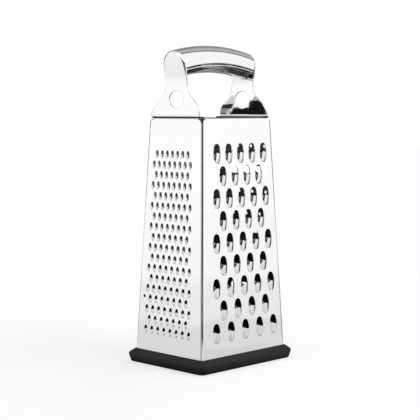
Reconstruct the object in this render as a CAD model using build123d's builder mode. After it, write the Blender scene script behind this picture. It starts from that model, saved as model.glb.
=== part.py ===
from build123d import *
from math import atan2, cos, degrees, sin, sqrt, tan
import os

# A box grater: four punched steel sides on a tapered body, a rubber foot ring, and an arched hollow
# grip between two bent brackets. Lengths are in millimetres. The origin is the middle of the base,
# +Z is up, the wide coarse side faces -Y and the narrow fine side faces -X.

# Steel body, measured over the outside, from the top of the foot ring to the rim
body_height = 200.0
base_width = 103.1
base_depth = 82.3
top_width = 84.5
top_depth = 64.7
sheet = 0.6
corner_bend = 1.6
seam_flange = 8.0
top_corner = 3.0
rim_bend = 0.7
rim_flange = 9.0
hem_width = 2.4
hem_leg = 4.0
flange_relief = 4.0

# Rubber foot ring round the lower edge
ring_height = 11.5
ring_ridge_drop = 4.0
ring_ridge_reach = 6.5
ring_foot_reach = 4.0
ring_top_land = 0.6
ring_corner = 7.0
ring_edge = 1.2
ring_grip = 6.0
ring_lip = 2.5
ring_fit = 0.1

# Coarse teeth: half the width over the dome, its length down the side, its rise, and the opening above
coarse_half_width = 3.95
coarse_length = 9.0
coarse_rise = 2.5
coarse_opening = 8.0
coarse_opening_half = 3.7
coarse_rows = 9
coarse_most = 5
coarse_top_margin = 29.3
coarse_bottom_margin = 20.6
coarse_side_margin = 15.1

# Fine teeth, in the same terms
fine_half_width = 1.75
fine_length = 3.4
fine_rise = 1.1
fine_opening = 3.2
fine_opening_half = 1.6
fine_rows = 18
fine_most = 8
fine_top_margin = 30.6
fine_bottom_margin = 18.5
fine_side_margin_top = 11.4
fine_side_margin_bottom = 14.1
pilot_hole = 2.8
pilot_row = 14

# Both patterns stand a little away from the corner that the two sides share
pattern_shift = 2.1

# Zester points: hollow cones punched outwards
zest_foot = 1.9
zest_tip = 1.15
zest_rise = 0.9
zest_hole = 0.75
zest_rows = 18
zest_most = 10
zest_top_margin = 30.0
zest_bottom_margin = 22.0
zest_side_margin = 13.0

# Slicing slots with a raised blade under each, and small round drain holes between them
slot_count = 3
slot_length = 44.0
slot_height = 7.2
slot_top_margin = 50.0
slot_bottom_margin = 44.0
blade_length = 38.0
blade_ramp = 9.0
blade_rise = 1.8
drain_hole = 2.8
drain_most = 4
drain_pitch = 16.0
drain_rise = 25.0
drain_drop_near = 15.5
drain_drop_far = 35.5

# Brackets of bent plate, one on each narrow side
plate = 1.2
bracket_half_gap = 41.0
foot_depth = 8.0
foot_corner = 2.5
foot_bend = 1.5
foot_shoulder = 27.0
foot_slope = 31.4
foot_side = 3.0
foot_tip = 1.5
slope_reach = 24.5
slope_height = 12.8
shoulder_height = 9.2
shoulder_bend = 8.0
neck_half_width = 12.4
neck_foot_height = 22.4
neck_bend = 9.0
head_drop = 1.5
lean_bend = 12.0
window_width = 17.6
window_height = 14.7
window_centre = 15.8
collar_depth = 4.0
collar_wall = 1.0
collar_fit = 0.15

# Grip: an arched hollow tube, highest above the rim at its middle
grip_top = 61.8
grip_half_width = 13.2
grip_rise = 13.4
grip_drop = 9.6
grip_wall = 0.8
grip_seam_drop = 2.5
grip_crown_radius = 195.0
grip_end_reach = 46.2

# One overrun serves every cut
overrun = 5.0

rim = ring_height + body_height
panel_low = ring_height - ring_grip
arch_radius = grip_crown_radius - grip_rise
arch_centre = rim + grip_top - grip_crown_radius
arch_angle = atan2(grip_end_reach, sqrt(grip_crown_radius**2 - grip_end_reach**2))


def half_width(z):
    """Half the body's width along X at a height."""
    return (base_width + (top_width - base_width) * (z - ring_height) / body_height) / 2


def half_depth(z):
    """Half the body's depth along Y at a height."""
    return (base_depth + (top_depth - base_depth) * (z - ring_height) / body_height) / 2


def tapered_block(inset_x, inset_y, corner, low, high):
    """A block with the body's taper between two heights, drawn in from its outside by the insets."""
    with BuildPart() as block:
        for z in (low, high):
            with BuildSketch(Plane.XY.offset(z)):
                RectangleRounded(
                    2 * (half_width(z) - inset_x),
                    2 * (half_depth(z) - inset_y),
                    corner,
                )
        loft(ruled=True)
    return block.part


# The four working faces: each plane lies on the steel's outside, with its +Y running up the slope
lean_wide = atan2(half_depth(ring_height) - half_depth(rim), body_height)
lean_narrow = atan2(half_width(ring_height) - half_width(rim), body_height)
slope_wide = body_height / cos(lean_wide)
slope_narrow = body_height / cos(lean_narrow)


def wide_plane(side):
    """The outside of a wide side; side is -1 for the one that faces -Y and 1 for the other."""
    return Plane(
        origin=(0, side * half_depth(ring_height), ring_height),
        x_dir=(-side, 0, 0),
        z_dir=(0, side * cos(lean_wide), sin(lean_wide)),
    )


def narrow_plane(side):
    """The outside of a narrow side; side is -1 for the one that faces -X and 1 for the other."""
    return Plane(
        origin=(side * half_width(ring_height), 0, ring_height),
        x_dir=(0, side, 0),
        z_dir=(side * cos(lean_narrow), 0, sin(lean_narrow)),
    )


def wide_blank(side):
    """A wide side before punching: a web, two flanges bent round the corners, and a hem at the rim."""
    outer = tapered_block(sheet, 0, corner_bend, panel_low, rim)
    inner = tapered_block(2 * sheet, sheet, corner_bend - sheet, panel_low - overrun, rim + overrun)
    hem_half = half_width(rim) - sheet - top_corner - sheet
    with BuildPart() as keep:
        for z in (panel_low - overrun, rim + overrun):
            with BuildSketch(Plane.XY.offset(z)):
                with Locations((0, side * (half_depth(z) + overrun - (seam_flange + overrun) / 2))):
                    Rectangle(2 * (half_width(z) + overrun), seam_flange + overrun)
        loft(ruled=True)
    with BuildPart() as blank:
        add(outer)
        add(inner, mode=Mode.SUBTRACT)
        add(keep.part, mode=Mode.INTERSECT)
        # the flanges stop short of the rim, and the web's top corners are rounded
        for end in (-1, 1):
            edge = end * (half_width(rim) - sheet)
            with BuildSketch(Plane.XY.offset(rim - flange_relief)):
                with Locations((edge, side * (half_depth(rim) - corner_bend - seam_flange))):
                    Rectangle(2 * top_corner, 2 * seam_flange)
            extrude(amount=flange_relief + overrun, mode=Mode.SUBTRACT)
            with BuildSketch(Plane.XZ) as nick:
                with Locations((edge, rim)):
                    Rectangle(2 * top_corner, 2 * top_corner)
                with Locations((edge - end * top_corner, rim - top_corner)):
                    Circle(top_corner, mode=Mode.SUBTRACT)
            extrude(amount=-side * base_depth, mode=Mode.SUBTRACT)
        # the rim is folded inwards between the corners
        with BuildSketch(Plane.XZ):
            with Locations((0, rim)):
                Rectangle(2 * hem_half, 2 * hem_leg)
        extrude(amount=-side * base_depth, mode=Mode.SUBTRACT)
        face_low = side * half_depth(rim - hem_leg)
        face_high = side * half_depth(rim)
        with BuildSketch(Plane.YZ):
            with BuildLine():
                FilletPolyline(
                    (face_low, rim - hem_leg),
                    (face_high, rim),
                    (face_high - side * hem_width, rim),
                    (face_high - side * hem_width, rim - sheet),
                    (side * half_depth(rim - sheet) - side * sheet, rim - sheet),
                    (face_low - side * sheet, rim - hem_leg),
                    radius=(0, rim_bend + sheet, 0, 0, rim_bend, 0),
                    close=True,
                )
            make_face()
        extrude(amount=hem_half, both=True)
    return blank.part


def narrow_blank(side):
    """A narrow side before punching: a flat sheet whose top is folded inwards to carry a bracket."""
    low = side * half_width(panel_low)
    high = side * half_width(rim)
    with BuildPart() as blank:
        with BuildSketch(Plane.XZ):
            with BuildLine():
                FilletPolyline(
                    (low, panel_low),
                    (high, rim),
                    (high - side * rim_flange, rim),
                    (high - side * rim_flange, rim - sheet),
                    (side * half_width(rim - sheet) - side * sheet, rim - sheet),
                    (low - side * sheet, panel_low),
                    radius=(0, rim_bend + sheet, 0, 0, rim_bend, 0),
                    close=True,
                )
            make_face()
        extrude(amount=base_depth, both=True)
        below = panel_low - overrun
        side_low = half_depth(below) - corner_bend
        side_high = half_depth(rim) - corner_bend
        with BuildSketch(Plane.YZ):
            with BuildLine():
                FilletPolyline(
                    (-side_low, below),
                    (side_low, below),
                    (side_high, rim),
                    (-side_high, rim),
                    radius=(0, 0, top_corner, top_corner),
                    close=True,
                )
            make_face()
        extrude(amount=base_width, both=True, mode=Mode.INTERSECT)
    return blank.part


def tooth_dome(half_width, length, rise, inset, floor):
    """Half a tilted tube that rises up the slope to its cutting edge on the line y = 0.

    The tube meets the side's outside in a half ellipse: half_width and length are its two reaches,
    and rise is the height of the cutting edge. The inset draws the tube in to make the hollow.
    """
    tilt = atan2(rise, length)
    depth = (half_width**2 / (rise * cos(tilt) ** 2) - rise) / 2
    radius = (rise + depth) * cos(tilt) - inset
    axis_plane = Plane(origin=(0, 0, -depth), x_dir=(1, 0, 0), z_dir=(0, cos(tilt), sin(tilt)))
    reach = 2 * (length + half_width)
    with BuildPart() as dome:
        with BuildSketch(axis_plane):
            Circle(radius)
        extrude(amount=reach, both=True)
        with BuildSketch(Plane.XY.offset(-floor)):
            with Locations((0, -reach / 2)):
                Rectangle(2 * reach, reach)
        extrude(amount=floor + 2 * rise, mode=Mode.INTERSECT)
    return dome.part


def tooth_opening(opening, opening_half):
    """The arched opening above the cutting edge, cut through the sheet."""
    with BuildPart() as cut:
        with BuildSketch(Plane.XY.offset(-2 * sheet)):
            with Locations((0, (opening - opening_half) / 2)):
                Rectangle(2 * opening_half, opening - opening_half)
            with Locations((0, opening - opening_half)):
                Circle(opening_half)
        extrude(amount=3 * sheet)
    return cut.part


def staggered_rows(rows, first, other, face, margins, ends):
    """Places of a staggered pattern, row by row from the top.

    face is the side's slope and its widths at the foot and at the rim, margins are the gaps from the
    rim and from the foot ring to the first and last rows, and ends are the gaps at a full row's two
    ends, at the top and at the bottom of the side.
    """
    slope, foot_width, head_width = face
    top_margin, bottom_margin = margins
    most = max(first, other)
    places = []
    for row in range(rows):
        y = slope - top_margin - row * (slope - top_margin - bottom_margin) / (rows - 1)
        share = y / slope
        width = foot_width + (head_width - foot_width) * share
        end = ends[1] + (ends[0] - ends[1]) * share
        pitch = (width - 2 * end) / (most - 1)
        count = other if row % 2 else first
        places.append([((i - (count - 1) / 2) * pitch, y) for i in range(count)])
    return places


def flat(rows, shift=0):
    """All the places of a pattern in one list, moved across the side."""
    return [(x + shift, y) for row in rows for x, y in row]


def punch_teeth(places, half_width, length, rise, opening):
    """Raise a dome at every place of the side in hand, hollow it and open it above its edge."""
    dome = tooth_dome(half_width, length, rise, 0, sheet / 2)
    hollow = tooth_dome(half_width, length, rise, sheet, 2 * sheet)
    with Locations(*places):
        add(dome)
        add(hollow, mode=Mode.SUBTRACT)
        add(opening, mode=Mode.SUBTRACT)


def turned(*outline):
    """A small turned form whose outline is given as radius and height."""
    with BuildPart() as form:
        with BuildSketch(Plane.XZ):
            with BuildLine():
                Polyline(*outline, close=True)
            make_face()
        revolve(axis=Axis.Z)
    return form.part


def slicing_blade():
    """The ramp under a slot, closed at its two ends, and the hollow behind it."""
    tilt = atan2(blade_rise, blade_ramp)
    behind = sheet / cos(tilt)
    deep = sheet + overrun
    with BuildPart() as ramp:
        with BuildSketch(Plane.YZ):
            with BuildLine():
                Polyline(
                    (-blade_ramp, 0),
                    (0, blade_rise),
                    (0, -sheet / 2),
                    (-blade_ramp, -sheet / 2),
                    close=True,
                )
            make_face()
        extrude(amount=blade_length / 2, both=True)
    with BuildPart() as hollow:
        with BuildSketch(Plane.YZ):
            with BuildLine():
                Polyline(
                    (0, blade_rise - behind),
                    (0, -deep),
                    (-blade_ramp * (blade_rise - behind + deep) / blade_rise, -deep),
                    close=True,
                )
            make_face()
        extrude(amount=blade_length / 2 - sheet, both=True)
    return ramp.part, hollow.part


def grip_plane(angle):
    """The plane square to the arched grip at an angle from the vertical; +Y points away from its centre."""
    return Plane(
        origin=(arch_radius * sin(angle), 0, arch_centre + arch_radius * cos(angle)),
        x_dir=(0, 1, 0),
        z_dir=(cos(angle), 0, -sin(angle)),
    )


def grip_section(plane, inset, wall):
    """The grip's wall in cross-section, drawn in by an inset: an upper and a lower half ellipse."""
    with BuildSketch(plane) as section:
        for gap, mode in ((inset, Mode.ADD), (inset + wall, Mode.SUBTRACT)):
            with BuildLine():
                EllipticalCenterArc((0, 0), grip_half_width - gap, grip_rise - gap, 0, arc_size=180)
                EllipticalCenterArc((0, 0), grip_half_width - gap, grip_drop - gap, 180, arc_size=180)
            make_face(mode=mode)
    return section.sketch


def grip_shell(above_seam):
    """The part of the arched tube above the seam or below it, between the two brackets."""
    reach = 2 * grip_half_width
    keep_centre = (reach / 2 if above_seam else -reach / 2) - grip_seam_drop
    start = grip_plane(-arch_angle)
    with BuildPart() as shell:
        with BuildSketch(start) as section:
            add(start.to_local_coords(grip_section(start, 0, grip_wall)))
            with Locations((0, keep_centre)):
                Rectangle(2 * reach, reach, mode=Mode.INTERSECT)
        revolve(
            axis=Axis((0, 0, arch_centre), (0, 1, 0)),
            revolution_arc=degrees(2 * arch_angle),
        )
        split(bisect_by=grip_plane(arch_angle).offset(-plate), keep=Keep.BOTTOM)
        split(bisect_by=grip_plane(-arch_angle).offset(plate), keep=Keep.TOP)
    return shell.part


def bracket_outline(side):
    """A block that holds all of a bracket, seen square on: foot, shoulders, neck and round head."""
    head = arch_centre + arch_radius * cos(arch_angle)
    below = rim - overrun
    with BuildPart() as block:
        with BuildSketch(Plane.YZ):
            with BuildLine():
                FilletPolyline(
                    (side * foot_shoulder, below),
                    (side * foot_shoulder, rim + shoulder_height),
                    (side * neck_half_width, rim + neck_foot_height),
                    (side * grip_half_width, head - head_drop),
                    (side * grip_half_width, head),
                    (-side * grip_half_width, head),
                    (-side * grip_half_width, head - head_drop),
                    (-side * neck_half_width, rim + neck_foot_height),
                    (-side * slope_reach, rim + slope_height),
                    (-side * foot_slope, rim + foot_side),
                    (-side * foot_slope, below),
                    radius=(0, shoulder_bend, neck_bend, 0, 0, 0, 0, neck_bend, shoulder_bend, foot_tip, 0),
                    close=True,
                )
            make_face()
        extrude(amount=base_width, both=True)
        with BuildSketch(grip_plane(side * arch_angle)):
            with BuildLine():
                arc = EllipticalCenterArc((0, 0), grip_half_width, grip_rise, 0, arc_size=180)
                Polyline(arc @ 1, (-grip_half_width, -head_drop), (grip_half_width, -head_drop), arc @ 0)
            make_face()
        extrude(amount=foot_depth, both=True)
    return block.part


def bracket(side):
    """One bent plate: a foot on the rim, an upright that leans out at its top, and a collar."""
    face = side * bracket_half_gap
    bend = arch_centre + bracket_half_gap / tan(arch_angle)
    top = grip_crown_radius + overrun
    top_x = side * top * sin(arch_angle)
    top_z = arch_centre + top * cos(arch_angle)
    with BuildPart() as piece:
        with BuildSketch(Plane.XZ):
            with BuildLine():
                FilletPolyline(
                    (face - side * foot_depth, rim),
                    (face, rim),
                    (face, bend),
                    (top_x, top_z),
                    (top_x - side * plate * cos(arch_angle), top_z + plate * sin(arch_angle)),
                    (face - side * plate, bend + plate * tan(arch_angle / 2)),
                    (face - side * plate, rim + plate),
                    (face - side * foot_depth, rim + plate),
                    radius=(0, foot_bend + plate, lean_bend - plate, 0, 0, lean_bend, foot_bend, 0),
                    close=True,
                )
            make_face()
        extrude(amount=foot_slope + overrun, both=True)
        add(bracket_outline(side), mode=Mode.INTERSECT)
        foot_end = face - side * foot_depth
        upright_edges = piece.edges().filter_by(Axis.Z)
        fillet([edge for edge in upright_edges if abs(edge.center().X - foot_end) < sheet], foot_corner)
        with BuildSketch(Plane.YZ):
            with Locations((0, rim + window_centre)):
                Ellipse(window_width / 2, window_height / 2)
        extrude(amount=side * base_width, mode=Mode.SUBTRACT)
        inner_face = grip_plane(side * arch_angle).offset(-side * plate)
        collar = grip_section(inner_face, grip_wall + collar_fit, collar_wall)
        extrude(collar, amount=-side * collar_depth)
    return piece.part


os.makedirs("parts", exist_ok=True)

# Coarse side, wide, facing -Y
coarse_places = staggered_rows(
    coarse_rows,
    coarse_most,
    coarse_most - 1,
    (slope_wide, base_width, top_width),
    (coarse_top_margin, coarse_bottom_margin),
    (coarse_side_margin, coarse_side_margin),
)
coarse_blank = wide_blank(-1)
with BuildPart() as coarse_panel:
    add(coarse_blank)
    with Locations(wide_plane(-1)):
        punch_teeth(
            flat(coarse_places, pattern_shift),
            coarse_half_width,
            coarse_length,
            coarse_rise,
            tooth_opening(coarse_opening, coarse_opening_half),
        )
coarse_panel.part.label = "coarse_panel"
export_step(coarse_panel.part, "parts/coarse_panel.step")

# Fine side, narrow, facing -X, with a pilot hole at the far end of one row
fine_places = staggered_rows(
    fine_rows,
    fine_most - 1,
    fine_most,
    (slope_narrow, base_depth, top_depth),
    (fine_top_margin, fine_bottom_margin),
    (fine_side_margin_top, fine_side_margin_bottom),
)
first, second = fine_places[pilot_row][:2]
pilot_place = (2 * first[0] - second[0] - pattern_shift, first[1] + pilot_hole / 2)
fine_blank = narrow_blank(-1)
with BuildPart() as fine_panel:
    add(fine_blank)
    with Locations(narrow_plane(-1)):
        punch_teeth(
            flat(fine_places, -pattern_shift),
            fine_half_width,
            fine_length,
            fine_rise,
            tooth_opening(fine_opening, fine_opening_half),
        )
    with BuildSketch(narrow_plane(-1)):
        with Locations(pilot_place):
            Circle(pilot_hole / 2)
    extrude(amount=2 * sheet, both=True, mode=Mode.SUBTRACT)
fine_panel.part.label = "fine_panel"
export_step(fine_panel.part, "parts/fine_panel.step")

# Zester side, wide, facing +Y
zest_places = staggered_rows(
    zest_rows,
    zest_most,
    zest_most - 1,
    (slope_wide, base_width, top_width),
    (zest_top_margin, zest_bottom_margin),
    (zest_side_margin, zest_side_margin),
)
zester_blank = wide_blank(1)
zest_point = turned(
    (0, -sheet / 2),
    (zest_foot, -sheet / 2),
    (zest_foot, 0),
    (zest_tip, zest_rise),
    (0, zest_rise),
)
zest_bore = turned(
    (0, -2 * sheet),
    (zest_foot, -2 * sheet),
    (zest_hole, zest_rise / 2),
    (zest_hole, 2 * zest_rise),
    (0, 2 * zest_rise),
)
with BuildPart() as zester_panel:
    add(zester_blank)
    with Locations(wide_plane(1)):
        with Locations(*flat(zest_places)):
            add(zest_point)
            add(zest_bore, mode=Mode.SUBTRACT)
zester_panel.part.label = "zester_panel"
export_step(zester_panel.part, "parts/zester_panel.step")

# Slicer side, narrow, facing +X
slicer_blank = narrow_blank(1)
slot_pitch = (slope_narrow - slot_top_margin - slot_bottom_margin) / (slot_count - 1)
slot_edges = [slope_narrow - slot_top_margin - i * slot_pitch for i in range(slot_count)]
drain_rows = [(slot_edges[0] + drain_rise, drain_most)]
for edge in slot_edges[:-1]:
    drain_rows.append((edge - drain_drop_near, drain_most))
    drain_rows.append((edge - drain_drop_far, drain_most - 1))
drain_rows.append((slot_edges[-1] - drain_drop_near, drain_most))
drain_places = [((i - (count - 1) / 2) * drain_pitch, y) for y, count in drain_rows for i in range(count)]
blade, blade_hollow = slicing_blade()
with BuildPart() as slicer_panel:
    add(slicer_blank)
    with Locations(narrow_plane(1)):
        with Locations(*[(0, edge) for edge in slot_edges]):
            add(blade)
            add(blade_hollow, mode=Mode.SUBTRACT)
    with BuildSketch(narrow_plane(1)):
        with Locations(*[(0, edge + slot_height / 2) for edge in slot_edges]):
            SlotOverall(slot_length, slot_height)
        with Locations(*drain_places):
            Circle(drain_hole / 2)
    extrude(amount=2 * sheet, both=True, mode=Mode.SUBTRACT)
slicer_panel.part.label = "slicer_panel"
export_step(slicer_panel.part, "parts/slicer_panel.step")

# Brackets, the same plate turned by half a turn
left_bracket = bracket(-1)
left_bracket.label = "left_bracket"
export_step(left_bracket, "parts/left_bracket.step")
right_bracket = bracket(1)
right_bracket.label = "right_bracket"
export_step(right_bracket, "parts/right_bracket.step")

# Grip, an upper shell and an underside that meet at a seam
grip_top_shell = grip_shell(True)
grip_top_shell.label = "grip_top_shell"
export_step(grip_top_shell, "parts/grip_top_shell.step")
grip_underside = grip_shell(False)
grip_underside.label = "grip_underside"
export_step(grip_underside, "parts/grip_underside.step")

# Foot ring: widest at its ridge, with a groove that takes the lower edge of the steel
groove = 2 * sheet + ring_fit
groove_outside = tapered_block(-ring_fit, -ring_fit, corner_bend, panel_low, ring_height + overrun)
groove_inside = tapered_block(groove, groove, ring_top_land, panel_low - overrun, ring_height + 2 * overrun)
with BuildPart() as groove_cut:
    add(groove_outside)
    add(groove_inside, mode=Mode.SUBTRACT)
ridge = ring_height - ring_ridge_drop
ring_levels = ((0, ring_foot_reach), (ridge, ring_ridge_reach), (ring_height, ring_top_land))
with BuildPart() as foot_ring:
    for lower, upper in zip(ring_levels, ring_levels[1:]):
        for z, reach in (lower, upper):
            corner = corner_bend + (ring_corner - corner_bend) * reach / ring_ridge_reach
            with BuildSketch(Plane.XY.offset(z)):
                RectangleRounded(base_width + 2 * reach, base_depth + 2 * reach, corner)
        loft(ruled=True)
    fillet(foot_ring.faces().sort_by(Axis.Z)[0].edges(), ring_edge)
    with BuildSketch(Plane.XY):
        Rectangle(base_width - 2 * (groove + ring_lip), base_depth - 2 * (groove + ring_lip))
    extrude(amount=ring_height, mode=Mode.SUBTRACT)
    add(groove_cut.part, mode=Mode.SUBTRACT)
foot_ring.part.label = "foot_ring"
export_step(foot_ring.part, "parts/foot_ring.step")
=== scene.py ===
# %% [markdown]
# A box grater in polished stainless steel: four punched sides make a tapered body, its lower edge
# stands in a black rubber ring, and two bent brackets carry an arched hollow grip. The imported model
# gives the frame: the origin is the middle of the base, +Z is up, the coarse side faces -Y and the
# fine side faces -X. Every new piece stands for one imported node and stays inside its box.

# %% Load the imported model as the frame
import math

import bmesh
import bpy
from mathutils import Matrix, Vector


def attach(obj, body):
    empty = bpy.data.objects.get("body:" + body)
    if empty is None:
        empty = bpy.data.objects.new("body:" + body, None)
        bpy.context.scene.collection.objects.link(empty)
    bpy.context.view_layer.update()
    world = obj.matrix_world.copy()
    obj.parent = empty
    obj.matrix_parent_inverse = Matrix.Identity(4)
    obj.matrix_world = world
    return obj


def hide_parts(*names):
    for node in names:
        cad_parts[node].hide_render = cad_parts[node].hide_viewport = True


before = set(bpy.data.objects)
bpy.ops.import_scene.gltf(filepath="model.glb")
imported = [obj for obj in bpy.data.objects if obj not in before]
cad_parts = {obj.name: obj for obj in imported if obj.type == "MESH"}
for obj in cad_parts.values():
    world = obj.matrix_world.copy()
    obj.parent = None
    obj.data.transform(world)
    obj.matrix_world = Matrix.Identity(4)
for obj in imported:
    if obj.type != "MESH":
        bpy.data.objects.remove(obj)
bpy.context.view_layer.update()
print("nodes", sorted(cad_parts))

# %% [markdown]
# The lengths are the same named values as in the model's source, in millimetres. Shapes are worked
# out in millimetres too, because a sheet of 0.6 reads better than 0.0006, and each finished mesh is
# scaled to metres once.

# %% Sizes in millimetres
MM = 0.001
BODY_HEIGHT = 200.0
BASE_WIDTH, BASE_DEPTH = 103.1, 82.3
TOP_WIDTH, TOP_DEPTH = 84.5, 64.7
SHEET = 0.6
CORNER_BEND = 1.6
SEAM_FLANGE = 6.0
SEAM_SHOW = 0.6
TOP_CORNER = 3.0
RIM_BEND = 1.3
RIM_FLANGE = 9.0
HEM_WIDTH = 2.4
FLANGE_RELIEF = 4.0
RING_HEIGHT = 11.5
RING_GRIP = 6.0
RIM = RING_HEIGHT + BODY_HEIGHT
PANEL_LOW = RING_HEIGHT - RING_GRIP


def half_width(z):
    """Half the body's width along X at a height."""
    return (BASE_WIDTH + (TOP_WIDTH - BASE_WIDTH) * (z - RING_HEIGHT) / BODY_HEIGHT) / 2


def half_depth(z):
    """Half the body's depth along Y at a height."""
    return (BASE_DEPTH + (TOP_DEPTH - BASE_DEPTH) * (z - RING_HEIGHT) / BODY_HEIGHT) / 2


LEAN_WIDE = math.atan2(half_depth(RING_HEIGHT) - half_depth(RIM), BODY_HEIGHT)
LEAN_NARROW = math.atan2(half_width(RING_HEIGHT) - half_width(RIM), BODY_HEIGHT)
SLOPE_WIDE = BODY_HEIGHT / math.cos(LEAN_WIDE)
SLOPE_NARROW = BODY_HEIGHT / math.cos(LEAN_NARROW)
print("rim at", RIM, "mm, wide sides lean", round(math.degrees(LEAN_WIDE), 2), "degrees")

# %% [markdown]
# Every steel sheet here is built in the same way: its outside skin first, then a wall behind it.
# Welding the doubles and turning the faces outwards comes before the wall, because on a closed
# shell a later recalculation would turn the inner wall round. Edges that turn by more than about a
# third of a right angle stay crisp.

# %% Helpers that finish a mesh
CRISP_ANGLE = math.radians(32)
WELD = 0.004


def placed(bm, name):
    """Make a worked-out shape an object of the scene."""
    mesh = bpy.data.meshes.new(name)
    bm.to_mesh(mesh)
    bm.free()
    thing = bpy.data.objects.new(name, mesh)
    bpy.context.scene.collection.objects.link(thing)
    return thing


def finished(bm, name, outwards=None, wall=0.0):
    """Weld and orient a skin, give it a wall, scale it to metres and put it in the scene."""
    bmesh.ops.remove_doubles(bm, verts=bm.verts[:], dist=WELD)
    bmesh.ops.recalc_face_normals(bm, faces=bm.faces[:])
    if outwards is not None:
        facing = sum((f.normal * f.calc_area() for f in bm.faces), Vector())
        if facing.dot(outwards) < 0:
            bmesh.ops.reverse_faces(bm, faces=bm.faces[:])
    if wall:
        outer = set(bm.faces)
        bmesh.ops.solidify(bm, geom=bm.faces[:], thickness=wall)
        for face in bm.faces:
            face.material_index = int(face not in outer)
    bmesh.ops.scale(bm, vec=(MM, MM, MM), verts=bm.verts[:])
    piece = placed(bm, name)
    for polygon in piece.data.polygons:
        polygon.use_smooth = True
    piece.data.set_sharp_from_angle(angle=CRISP_ANGLE)
    print(name, len(piece.data.polygons), "faces")
    return piece


def stands_for(piece, node, slot, *materials):
    """The piece rides on the body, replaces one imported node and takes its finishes."""
    for material in materials:
        piece.data.materials.append(material)
    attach(piece, "root")
    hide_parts(node)


# %% [markdown]
# A ring of edges that is extruded again and again, each time moved to its next place, makes most of
# the shapes here: the steel round a tooth, a plate's rounded edge, the rubber ring's outline. Each
# vertex remembers its spoke in an integer layer, which an extrusion copies, so a new ring's vertices
# know where to go.

# %% Grow a strip ring by ring


def grow_rings(bm, rings, closed=True):
    """Extrude a loop of edges through a list of rings; each ring lists one point for every spoke."""
    spoke = bm.verts.layers.int.get("spoke") or bm.verts.layers.int.new("spoke")
    start = []
    for index, point in enumerate(rings[0]):
        vertex = bm.verts.new(point)
        vertex[spoke] = index
        start.append(vertex)
    pairs = list(zip(start, start[1:] + start[:1])) if closed else list(zip(start, start[1:]))
    edges = [bm.edges.new(pair) for pair in pairs]
    loops = [edges]
    for ring in rings[1:]:
        grown = bmesh.ops.extrude_edge_only(bm, edges=edges)["geom"]
        fresh = [part for part in grown if isinstance(part, bmesh.types.BMVert)]
        for vertex in fresh:
            vertex.co = ring[vertex[spoke]]
        moved = set(fresh)
        edges = [
            part for part in grown
            if isinstance(part, bmesh.types.BMEdge) and part.verts[0] in moved and part.verts[1] in moved
        ]
        loops.append(edges)
    return loops


def lerp(a, b, share):
    """The value a given share of the way from a to b."""
    return a + (b - a) * share


# %% [markdown]
# A grating tooth is cut and pressed in one stroke: the punch opens an arch in the sheet and pushes
# the steel under it outwards into half a tilted tube, whose upper end is the cutting edge. The side
# is made of such cells, each a grid of rings from the opening's lip out to flat steel, and the flat
# sheet between them is filled in one go. So the sheet stays perfectly flat, as its reflections show.

# %% The shape of one pressed tooth
EDGE_TURN = math.radians(24)
DOME_BELLY, DOME_DROP = 0.75, 6
INNER_RIM_SHARE = 0.3


def tooth_oval(tooth):
    """The middle and the half length of the oval that a tooth and its opening cover."""
    return (tooth["opening"] - tooth["length"]) / 2, (tooth["opening"] + tooth["length"]) / 2


def tooth_outline(tooth, turn):
    """A place on that oval, from its turn round the oval's middle."""
    middle, tall = tooth_oval(tooth)
    across = math.copysign(abs(math.cos(turn)) ** tooth["fullness"], math.cos(turn))
    along = math.copysign(abs(math.sin(turn)) ** tooth["fullness"], math.sin(turn))
    return tooth["half_width"] * across, middle + tall * along


def tooth_height(x, y, tooth):
    """How far the dome stands out at a place inside the tooth's oval."""
    middle, tall = tooth_oval(tooth)
    along = min(1.0, abs(y - middle) / tall)
    power = 2 / tooth["fullness"]
    half = tooth["half_width"] * (1 - along**power) ** (1 / power)
    if abs(x) >= half:
        return 0.0
    down = max(0.0, -y / tooth["length"])
    crest = tooth["rise"] * (1 - tooth["fall"] * down) * math.sqrt(max(0.0, 1 - down**DOME_DROP))
    return crest * (1 - (x / half) ** 2) ** DOME_BELLY


def tooth_cell(tooth, spokes, shares):
    """Rings of one cell: the opening's lip, the dome down to its oval, and flat steel round it."""
    above, below = spokes
    corner_x, corner_y = tooth_outline(tooth, EDGE_TURN)
    lip, foot = [], []
    for step in range(above):
        turn = lerp(EDGE_TURN, math.pi - EDGE_TURN, step / above)
        lip.append(tooth_outline(tooth, turn))
        foot.append(lip[-1])
    for step in range(below):
        turn = math.pi * step / below
        x = -corner_x * math.cos(turn)
        lip.append((x, corner_y * (1 - math.sqrt(max(0.0, 1 - (x / corner_x) ** 2)))))
        foot.append(tooth_outline(tooth, lerp(math.pi - EDGE_TURN, 2 * math.pi + EDGE_TURN, step / below)))
    rings = []
    for share in shares:
        ring = []
        for (x0, y0), (x1, y1) in zip(lip, foot):
            x, y = lerp(x0, x1, share), lerp(y0, y1, share)
            ring.append((x, y, tooth_height(x, y, tooth) if share < 1 else 0.0))
        rings.append(ring)
    middle = tooth_oval(tooth)[0]
    for margin in (tooth["rim"] * INNER_RIM_SHARE, tooth["rim"]):
        wide, tall = 1 + margin / tooth["half_width"], 1 + margin / tooth["length"]
        rings.append([(x * wide, middle + (y - middle) * tall, 0.0) for x, y in foot])
    return rings


COARSE_TOOTH = dict(half_width=4.2, length=9.0, rise=2.5, opening=8.0, fullness=0.8, fall=0.55, rim=0.8)
FINE_TOOTH = dict(half_width=1.85, length=3.7, rise=1.15, opening=3.3, fullness=0.85, fall=0.45, rim=0.5)
COARSE_SHARES = (0, 0.08, 0.2, 0.34, 0.48, 0.62, 0.75, 0.86, 0.94, 0.985, 1)
FINE_SHARES = (0, 0.4, 0.75, 0.94, 1)
COARSE_SPOKES, FINE_SPOKES = (12, 28), (6, 12)
print("coarse teeth stand out", COARSE_TOOTH["rise"], "mm, fine ones", FINE_TOOTH["rise"], "mm")

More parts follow.
